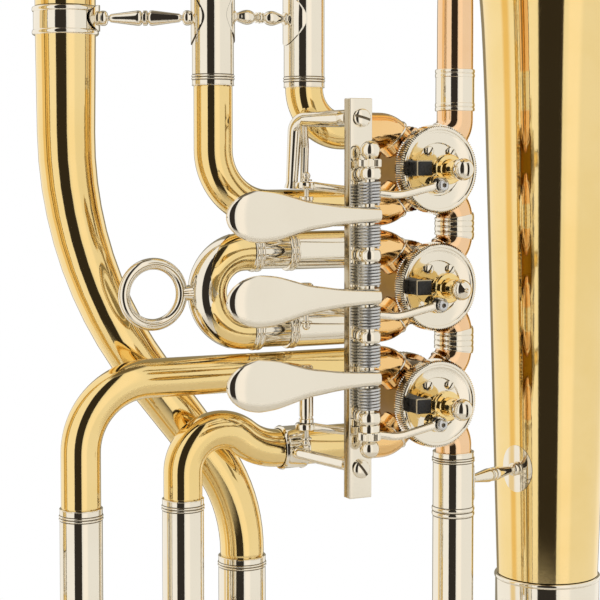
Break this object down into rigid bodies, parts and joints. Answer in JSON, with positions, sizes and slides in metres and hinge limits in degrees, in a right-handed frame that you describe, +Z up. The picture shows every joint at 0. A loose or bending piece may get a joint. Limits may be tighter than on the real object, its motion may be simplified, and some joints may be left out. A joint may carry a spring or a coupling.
{
  "type": "alto horn",
  "caption": "Oval alto horn with upright flared bell, three rotary valves in a column, finger levers on a sprung rail, tuning slides and mouthpiece.",
  "frame": {"origin": "centre of the middle valve, on the plane of the valve ports", "axes": "+Z up along the valve column towards the bell mouth, +X from the valves towards the bell stem, -Y towards the side with the finger levers"},
  "size_m": [0.3911, 0.228, 0.5499],
  "materials": {
    "yellow_brass": "polished, clear lacquer",
    "gold_brass": "polished, clear lacquer",
    "nickel_silver": "polished nickel silver",
    "spring_steel": "bright wire",
    "silver_plate": "polished silver plate"
  },
  "bodies": {
    "horn": {"lead_pipe": "gold_brass", "knuckle_1_2": "gold_brass", "knuckle_2_3": "gold_brass", "exit_elbow": "gold_brass", "bell": "yellow_brass", "bottom_bow": "yellow_brass", "outer_branch": "yellow_brass", "first_branch": "yellow_brass", "slide_1_upper_tube": "yellow_brass", "slide_1_lower_tube": "yellow_brass", "slide_3_upper_tube": "yellow_brass", "slide_3_lower_tube": "yellow_brass", "valve_casing_1": "yellow_brass", "valve_casing_2": "yellow_brass", "valve_casing_3": "yellow_brass", "spring_1": "spring_steel", "spring_2": "spring_steel", "spring_3": "spring_steel", "spring_4": "spring_steel", "spring_5": "spring_steel", "spring_6": "spring_steel", "receiver": "nickel_silver", "slide_1_sleeve_right": "nickel_silver", "slide_1_sleeve_left": "nickel_silver", "slide_2_leg_upper": "nickel_silver", "slide_2_leg_lower": "nickel_silver", "slide_3_sleeve_right": "nickel_silver", "slide_3_sleeve_left": "nickel_silver", "main_sleeve_right": "nickel_silver", "main_sleeve_left": "nickel_silver", "lever_rail": "nickel_silver", "hinge_rod": "nickel_silver", "upper_rail_brace": "nickel_silver", "lower_rail_brace": "nickel_silver", "slide_1_brace": "nickel_silver", "left_brace": "nickel_silver", "right_brace": "nickel_silver", "front_cap_1": "nickel_silver", "front_cap_2": "nickel_silver", "front_cap_3": "nickel_silver", "rear_cap_1": "nickel_silver", "rear_cap_2": "nickel_silver", "rear_cap_3": "nickel_silver"},
    "lever_1": {"finger_lever_1": "nickel_silver"},
    "rotor_1": {"rotor_1": "yellow_brass", "stop_arm_1": "yellow_brass"},
    "link_1": {"link_rod_1": "nickel_silver"},
    "lever_2": {"finger_lever_2": "nickel_silver"},
    "rotor_2": {"rotor_2": "yellow_brass", "stop_arm_2": "yellow_brass"},
    "link_2": {"link_rod_2": "nickel_silver"},
    "lever_3": {"finger_lever_3": "nickel_silver"},
    "rotor_3": {"rotor_3": "yellow_brass", "stop_arm_3": "yellow_brass"},
    "link_3": {"link_rod_3": "nickel_silver"},
    "slide_1": {"slide_1": "yellow_brass"},
    "slide_2": {"slide_2": "yellow_brass"},
    "slide_3": {"slide_3": "yellow_brass"},
    "main_slide": {"main_slide": "yellow_brass"},
    "mouthpiece": {"mouthpiece": "silver_plate"}
  },
  "joints": [
    {"name": "lever_1_press", "type": "hinge", "parent": "horn", "child": "lever_1", "pos_m": [-0.043, -0.0405, 0.0278], "axis": [0, 0, -1], "range_deg": [0, 21.8], "stiffness_Nm_per_rad": 0.06, "springref_deg": -20.05},
    {"name": "rotor_1_turn", "type": "hinge", "parent": "horn", "child": "rotor_1", "pos_m": [0, 0, 0.0431], "axis": [0, -1, 0], "range_deg": [0, 90]},
    {"name": "link_1_swing", "type": "hinge", "parent": "rotor_1", "child": "link_1", "pos_m": [-0.00566, -0.0243, 0.03744], "axis": [0, -1, 0], "range_deg": [-90, 0]},
    {"name": "lever_2_press", "type": "hinge", "parent": "horn", "child": "lever_2", "pos_m": [-0.043, -0.0405, 0], "axis": [0, 0, -1], "range_deg": [0, 21.8], "stiffness_Nm_per_rad": 0.06, "springref_deg": -20.05},
    {"name": "rotor_2_turn", "type": "hinge", "parent": "horn", "child": "rotor_2", "pos_m": [0, 0, 0], "axis": [0, -1, 0], "range_deg": [0, 90]},
    {"name": "link_2_swing", "type": "hinge", "parent": "rotor_2", "child": "link_2", "pos_m": [-0.00566, -0.0243, -0.00566], "axis": [0, -1, 0], "range_deg": [-90, 0]},
    {"name": "lever_3_press", "type": "hinge", "parent": "horn", "child": "lever_3", "pos_m": [-0.043, -0.0405, -0.0278], "axis": [0, 0, -1], "range_deg": [0, 21.8], "stiffness_Nm_per_rad": 0.06, "springref_deg": -20.05},
    {"name": "rotor_3_turn", "type": "hinge", "parent": "horn", "child": "rotor_3", "pos_m": [0, 0, -0.0431], "axis": [0, -1, 0], "range_deg": [0, 90]},
    {"name": "link_3_swing", "type": "hinge", "parent": "rotor_3", "child": "link_3", "pos_m": [-0.00566, -0.0243, -0.04876], "axis": [0, -1, 0], "range_deg": [-90, 0]},
    {"name": "slide_1_pull", "type": "slide", "parent": "horn", "child": "slide_1", "axis": [0, 0, 1], "range_m": [0, 0.028]},
    {"name": "slide_2_pull", "type": "slide", "parent": "horn", "child": "slide_2", "axis": [-1, 0, 0], "range_m": [0, 0.01]},
    {"name": "slide_3_pull", "type": "slide", "parent": "horn", "child": "slide_3", "axis": [0, 0, -1], "range_m": [0, 0.03]},
    {"name": "main_slide_pull", "type": "slide", "parent": "horn", "child": "main_slide", "axis": [0, 0, -1], "range_m": [0, 0.03]},
    {"name": "mouthpiece_pull", "type": "slide", "parent": "horn", "child": "mouthpiece", "axis": [0, 1, 0], "range_m": [0, 0.02]}
  ],
  "couplings": [
    {"joint": "rotor_1_turn", "follows": "lever_1_press", "ratio": 4.1284},
    {"joint": "link_1_swing", "follows": "lever_1_press", "ratio": -4.1284},
    {"joint": "rotor_2_turn", "follows": "lever_2_press", "ratio": 4.1284},
    {"joint": "link_2_swing", "follows": "lever_2_press", "ratio": -4.1284},
    {"joint": "rotor_3_turn", "follows": "lever_3_press", "ratio": 4.1284},
    {"joint": "link_3_swing", "follows": "lever_3_press", "ratio": -4.1284}
  ]
}
